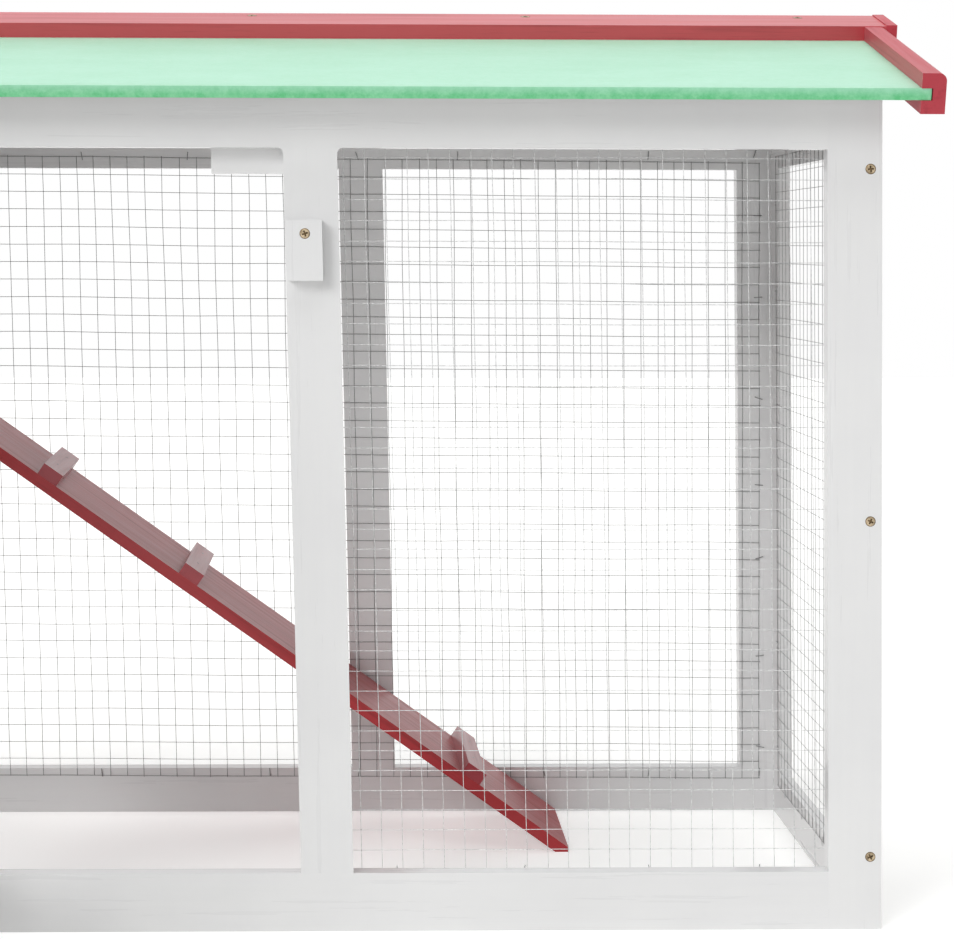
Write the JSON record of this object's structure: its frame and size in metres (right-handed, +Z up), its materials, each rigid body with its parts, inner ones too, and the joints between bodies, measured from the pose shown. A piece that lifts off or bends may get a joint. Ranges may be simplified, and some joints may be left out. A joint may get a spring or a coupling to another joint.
{
  "type": "rabbit cage",
  "caption": "Gable-roofed timber rabbit cage with a wire-mesh run, an open run door, a raised house with a litter tray, and a hinged ramp.",
  "frame": {"origin": "under the middle of the whole cage with its run door open, on the ground", "axes": "+X along the cage, from the house to the run; +Y from the front to the rear; +Z up"},
  "size_m": [1.525, 0.891, 0.8628],
  "materials": {
    "white_wood": "white paint, satin",
    "red_wood": "thin red stain, grain shows",
    "green_felt": "mineral roofing felt, matt",
    "galvanised_wire": "galvanised",
    "yellow_zinc": "yellow zinc plated",
    "hinge_steel": "zinc plated",
    "grey_plastic": "matt"
  },
  "bodies": {
    "cage": {"front_post_right": "white_wood", "front_mid_post": "white_wood", "front_jamb_post": "white_wood", "front_post_left": "white_wood", "front_bottom_rail": "white_wood", "front_top_rail": "white_wood", "front_house_rail": "white_wood", "rear_post_right": "white_wood", "rear_mid_post": "white_wood", "rear_jamb_post": "white_wood", "rear_post_left": "white_wood", "rear_bottom_rail": "white_wood", "rear_top_rail": "white_wood", "side_rail_right": "white_wood", "side_gable_right": "white_wood", "side_front_stile_right": "white_wood", "side_rear_stile_right": "white_wood", "side_rail_left": "white_wood", "side_front_stile_left": "white_wood", "side_rear_stile_left": "white_wood", "house_side_wall": "white_wood", "house_rear_wall": "white_wood", "house_floor": "white_wood", "partition_wall": "white_wood", "partition_lintel": "white_wood", "front_net": "galvanised_wire", "side_net": "galvanised_wire", "rear_net": "galvanised_wire", "lower_front_net": "galvanised_wire", "lower_side_net": "galvanised_wire", "lower_rear_net": "galvanised_wire", "frame_hinge_leaves": "hinge_steel", "door_stop": "white_wood", "wood_screws": "yellow_zinc", "ramp_hinge_fixed": "hinge_steel", "roof_board_front": "white_wood", "roof_board_rear": "white_wood", "roof_felt_front": "green_felt", "roof_felt_rear": "green_felt", "gable_trim_right_front": "red_wood", "gable_trim_right_rear": "red_wood", "gable_trim_left_front": "red_wood", "gable_trim_left_rear": "red_wood", "ridge_boards": "red_wood", "ridge_ends": "red_wood"},
    "run_door": {"run_door_hinge_stile": "white_wood", "run_door_latch_stile": "white_wood", "run_door_top_rail": "white_wood", "run_door_bottom_rail": "white_wood", "run_door_net": "galvanised_wire", "run_door_hinge_leaves": "hinge_steel"},
    "house_door": {"house_door": "white_wood", "house_door_hinge_leaves": "hinge_steel"},
    "run_button": {"run_turn_button": "white_wood"},
    "house_button": {"house_turn_button": "white_wood"},
    "tray": {"litter_tray": "grey_plastic", "tray_front": "white_wood"},
    "ramp": {"ramp_board": "red_wood", "ramp_cleats": "red_wood", "ramp_hinge_leaf": "hinge_steel"}
  },
  "joints": [
    {"name": "run_door_hinge", "type": "hinge", "parent": "cage", "child": "run_door", "pos_m": [-0.19625, -0.08323, 0], "axis": [0, 0, 1], "range_deg": [-45, 90]},
    {"name": "house_door_hinge", "type": "hinge", "parent": "cage", "child": "house_door", "pos_m": [-0.65675, -0.08323, 0], "axis": [0, 0, 1], "range_deg": [-110, 0]},
    {"name": "run_button_turn", "type": "hinge", "parent": "cage", "child": "run_button", "pos_m": [0.1867, -0.07923, 0.643], "axis": [0, 1, 0], "continuous": true},
    {"name": "house_button_turn", "type": "hinge", "parent": "cage", "child": "house_button", "pos_m": [-0.2278, -0.07923, 0.6], "axis": [0, 1, 0], "range_deg": [0, 90]},
    {"name": "tray_slide", "type": "slide", "parent": "cage", "child": "tray", "axis": [0, -1, 0], "range_m": [0, 0.38]},
    {"name": "ramp_hinge", "type": "hinge", "parent": "cage", "child": "ramp", "pos_m": [-0.1935, 0.28057, 0.472], "axis": [0, -1, 0], "range_deg": [0, 50]}
  ]
}
